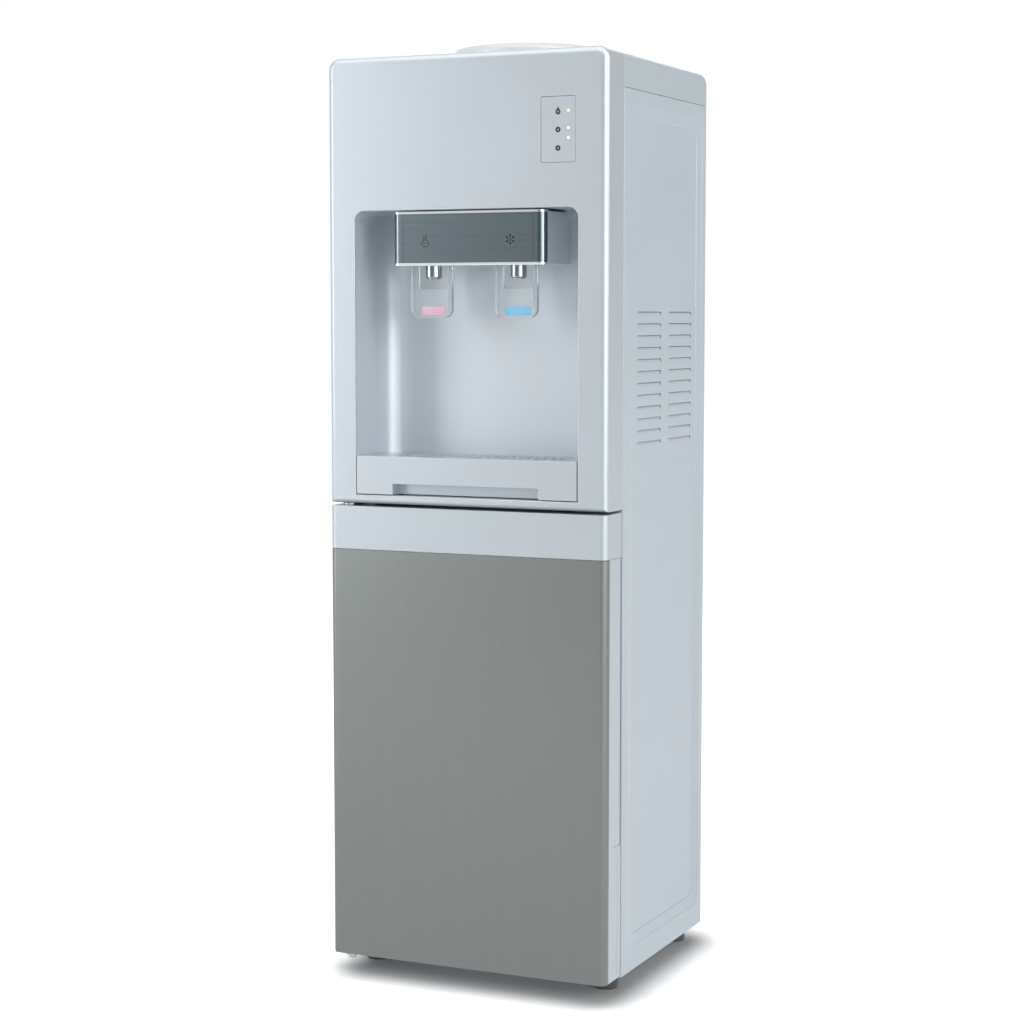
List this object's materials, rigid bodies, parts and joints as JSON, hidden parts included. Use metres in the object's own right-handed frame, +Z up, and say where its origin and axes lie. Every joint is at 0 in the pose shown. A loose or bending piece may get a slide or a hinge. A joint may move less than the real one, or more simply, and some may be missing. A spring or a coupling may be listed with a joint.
{
  "type": "water dispenser",
  "caption": "Free-standing bottle water dispenser with a tap niche, push levers, a pull-out drip tray and a small cold cabinet behind a hinged door.",
  "frame": {"origin": "centre of the footprint, on the floor under the feet", "axes": "X to the right seen from the front, Y to the rear (the front faces -Y), Z up"},
  "size_m": [0.32, 0.322, 0.998],
  "materials": {
    "silver_plastic": "satin silver lacquer on ABS",
    "panel_paint": "fine textured powder coat on pressed sheet",
    "niche_plastic": "satin moulded ABS",
    "galvanised_steel": "galvanised sheet",
    "door_steel": "brushed sheet, brush marks upright",
    "dark_steel": "dark brushed plate",
    "chrome": "bright chrome on plastic",
    "clear_plastic": "clear polycarbonate",
    "pink_mark": "pink insert",
    "blue_mark": "blue insert",
    "white_plastic": "white food-grade plastic",
    "foam": "rigid insulating foam",
    "rubber": "moulded rubber",
    "gasket": "soft grey gasket",
    "black_plastic": "black plastic",
    "black_paint": "black enamel",
    "copper": "plain copper",
    "stainless": "plain stainless steel",
    "silicone": "milky silicone",
    "board": "green circuit board",
    "light_guide": "clear light guides",
    "red_rocker": "red rocker",
    "green_rocker": "green rocker"
  },
  "bodies": {
    "cabinet": {"front_fascia": "silver_plastic", "top_cover": "silver_plastic", "indicator_plate": "silver_plastic", "side_panel_left": "panel_paint", "side_panel_right": "panel_paint", "niche_liner": "niche_plastic", "tap_box": "niche_plastic", "base_plate": "galvanised_steel", "rear_panel": "galvanised_steel", "tank_deck": "galvanised_steel", "tank_bracket": "galvanised_steel", "hinge_brackets": "galvanised_steel", "tap_plate": "dark_steel", "tap_bezel": "chrome", "nozzles": "chrome", "tap_bodies": "white_plastic", "fridge_liner": "white_plastic", "fridge_shelf": "white_plastic", "drain_spout": "white_plastic", "fridge_foam": "foam", "cold_tank_foam": "foam", "hot_tank_foam": "foam", "feet": "rubber", "compressor_grommets": "rubber", "terminal_cover": "black_plastic", "switch_housings": "black_plastic", "cord_gland": "black_plastic", "thermostats": "black_plastic", "compressor": "black_paint", "condenser": "black_paint", "refrigerant_lines": "copper", "evaporator_coils": "copper", "cold_tank": "stainless", "hot_tank": "stainless", "band_heater": "stainless", "hot_valve_spring": "stainless", "cold_valve_spring": "stainless", "screws": "stainless", "water_tubes": "silicone", "control_board": "board", "indicator_lights": "light_guide"},
    "door": {"door_skin": "door_steel", "door_band": "silver_plastic", "door_frame": "silver_plastic", "door_foam": "foam", "door_liner": "white_plastic", "door_gasket": "gasket"},
    "hot_tap_lever": {"hot_lever": "clear_plastic", "hot_lever_mark": "pink_mark"},
    "cold_tap_lever": {"cold_lever": "clear_plastic", "cold_lever_mark": "blue_mark"},
    "hot_stem": {"hot_valve_stem": "stainless"},
    "cold_stem": {"cold_valve_stem": "stainless"},
    "tray": {"drip_tray": "silver_plastic"},
    "grille": {"drip_grille": "silver_plastic"},
    "hot_rocker": {"hot_switch": "red_rocker"},
    "cold_rocker": {"cold_switch": "green_rocker"},
    "spout_cap": {"drain_cap": "black_plastic"},
    "bottle_seat": {"bottle_collar": "white_plastic", "bottle_probe": "white_plastic"}
  },
  "joints": [
    {"name": "door_hinge", "type": "hinge", "parent": "cabinet", "child": "door", "pos_m": [-0.143, -0.147, 0.26], "axis": [0, 0, -1], "range_deg": [0, 110]},
    {"name": "hot_lever_pivot", "type": "hinge", "parent": "cabinet", "child": "hot_tap_lever", "pos_m": [-0.049, -0.1395, 0.7895], "axis": [1, 0, 0], "range_deg": [0, 15], "stiffness_Nm_per_rad": 0.5},
    {"name": "hot_stem_slide", "type": "slide", "parent": "cabinet", "child": "hot_stem", "axis": [0, 0, 1], "range_m": [0, 0.002], "deforming": ["hot_valve_spring"]},
    {"name": "cold_lever_pivot", "type": "hinge", "parent": "cabinet", "child": "cold_tap_lever", "pos_m": [0.049, -0.1395, 0.7895], "axis": [1, 0, 0], "range_deg": [0, 15], "stiffness_Nm_per_rad": 0.5},
    {"name": "cold_stem_slide", "type": "slide", "parent": "cabinet", "child": "cold_stem", "axis": [0, 0, 1], "range_m": [0, 0.002], "deforming": ["cold_valve_spring"]},
    {"name": "tray_slide", "type": "slide", "parent": "cabinet", "child": "tray", "axis": [0, -1, 0], "range_m": [0, 0.08]},
    {"name": "grille_lift", "type": "slide", "parent": "tray", "child": "grille", "axis": [0, 0, 1], "range_m": [0, 0.03]},
    {"name": "hot_rocker_pivot", "type": "hinge", "parent": "cabinet", "child": "hot_rocker", "pos_m": [-0.095, 0.127, 0.88], "axis": [-1, 0, 0], "range_deg": [0, 20]},
    {"name": "cold_rocker_pivot", "type": "hinge", "parent": "cabinet", "child": "cold_rocker", "pos_m": [-0.065, 0.127, 0.88], "axis": [-1, 0, 0], "range_deg": [0, 20]},
    {"name": "cap_pull", "type": "slide", "parent": "cabinet", "child": "spout_cap", "axis": [0, 1, 0], "range_m": [0, 0.02]},
    {"name": "seat_lift", "type": "slide", "parent": "cabinet", "child": "bottle_seat", "axis": [0, 0, 1], "range_m": [0, 0.06]}
  ],
  "couplings": [
    {"joint": "hot_stem_slide", "follows": "hot_lever_pivot", "m_per_rad": 0.0075},
    {"joint": "cold_stem_slide", "follows": "cold_lever_pivot", "m_per_rad": 0.0075}
  ]
}
